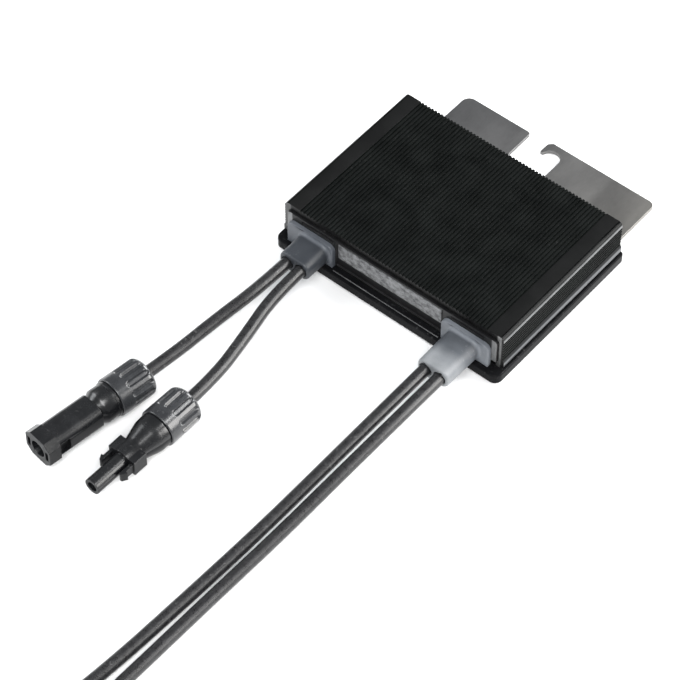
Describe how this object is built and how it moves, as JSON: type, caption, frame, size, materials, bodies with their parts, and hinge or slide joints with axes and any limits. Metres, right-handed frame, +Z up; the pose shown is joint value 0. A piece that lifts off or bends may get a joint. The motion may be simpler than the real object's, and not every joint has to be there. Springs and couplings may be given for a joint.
{
  "type": "power optimizer",
  "caption": "Flat ribbed black aluminium power converter on a steel bracket with a hooked slot, grey cable glands and leads that end in round plug-in connectors.",
  "frame": {"origin": "on the surface that the bracket lies on, under the middle of the box round the unit without its leads", "axes": "+X along the cable side to the output gland's side, +Y from the cable side to the bracket's slot, +Z up through the ribbed cover"},
  "size_m": [0.1813, 0.567, 0.0278],
  "materials": {
    "stainless_sheet": "satin rolled stainless sheet",
    "black_casting": "satin black coated aluminium",
    "black_extrusion": "black anodised aluminium",
    "black_moulding": "matt black moulding",
    "bare_plate": "bare satin aluminium foil plate",
    "grey_rubber": "matt blue-grey rubber",
    "lead_jacket": "black cross-linked jacket, soft sheen",
    "connector_plastic": "satin black moulding",
    "seal_rubber": "matt black rubber",
    "plated_contact": "tin plated copper",
    "screw_steel": "stainless",
    "board_laminate": "green laminate",
    "ferrite": "matt dark grey ferrite",
    "copper_wire": "enamelled copper",
    "capacitor_case": "yellow moulded case",
    "transistor_case": "black epoxy",
    "plain_aluminium": "milled aluminium",
    "gap_pad": "soft grey thermal pad",
    "tie_plastic": "black nylon"
  },
  "bodies": {
    "root": {"base_plate": "black_casting", "base_screws": "screw_steel", "board_screws": "screw_steel", "board_spacers": "plain_aluminium", "bracket_screws": "screw_steel", "circuit_board": "board_laminate", "coil_tie_1": "tie_plastic", "coil_tie_2": "tie_plastic", "film_capacitors": "capacitor_case", "front_cap": "black_moulding", "heat_spreader": "plain_aluminium", "housing_cover": "black_extrusion", "inductor_core": "ferrite", "inductor_winding": "copper_wire", "inner_leads": "copper_wire", "input_gland": "grey_rubber", "input_lead_1": "lead_jacket", "input_lead_2": "lead_jacket", "input_nose_contact": "plated_contact", "input_nose_housing": "connector_plastic", "input_nose_nut": "connector_plastic", "input_nose_seal": "seal_rubber", "input_socket_contact": "plated_contact", "input_socket_housing": "connector_plastic", "input_socket_nut": "connector_plastic", "input_socket_seal": "seal_rubber", "label_plate": "bare_plate", "mounting_bracket": "stainless_sheet", "output_coil_1": "lead_jacket", "output_coil_2": "lead_jacket", "output_gland": "grey_rubber", "output_lead_1": "lead_jacket", "output_lead_2": "lead_jacket", "output_nose_contact": "plated_contact", "output_nose_housing": "connector_plastic", "output_nose_nut": "connector_plastic", "output_nose_seal": "seal_rubber", "output_socket_contact": "plated_contact", "output_socket_housing": "connector_plastic", "output_socket_nut": "connector_plastic", "output_socket_seal": "seal_rubber", "output_tail_1": "lead_jacket", "output_tail_2": "lead_jacket", "power_transistors": "transistor_case", "rear_cap": "black_moulding", "terminal_blocks": "plain_aluminium", "thermal_pads": "gap_pad"}
  },
  "joints": []
}
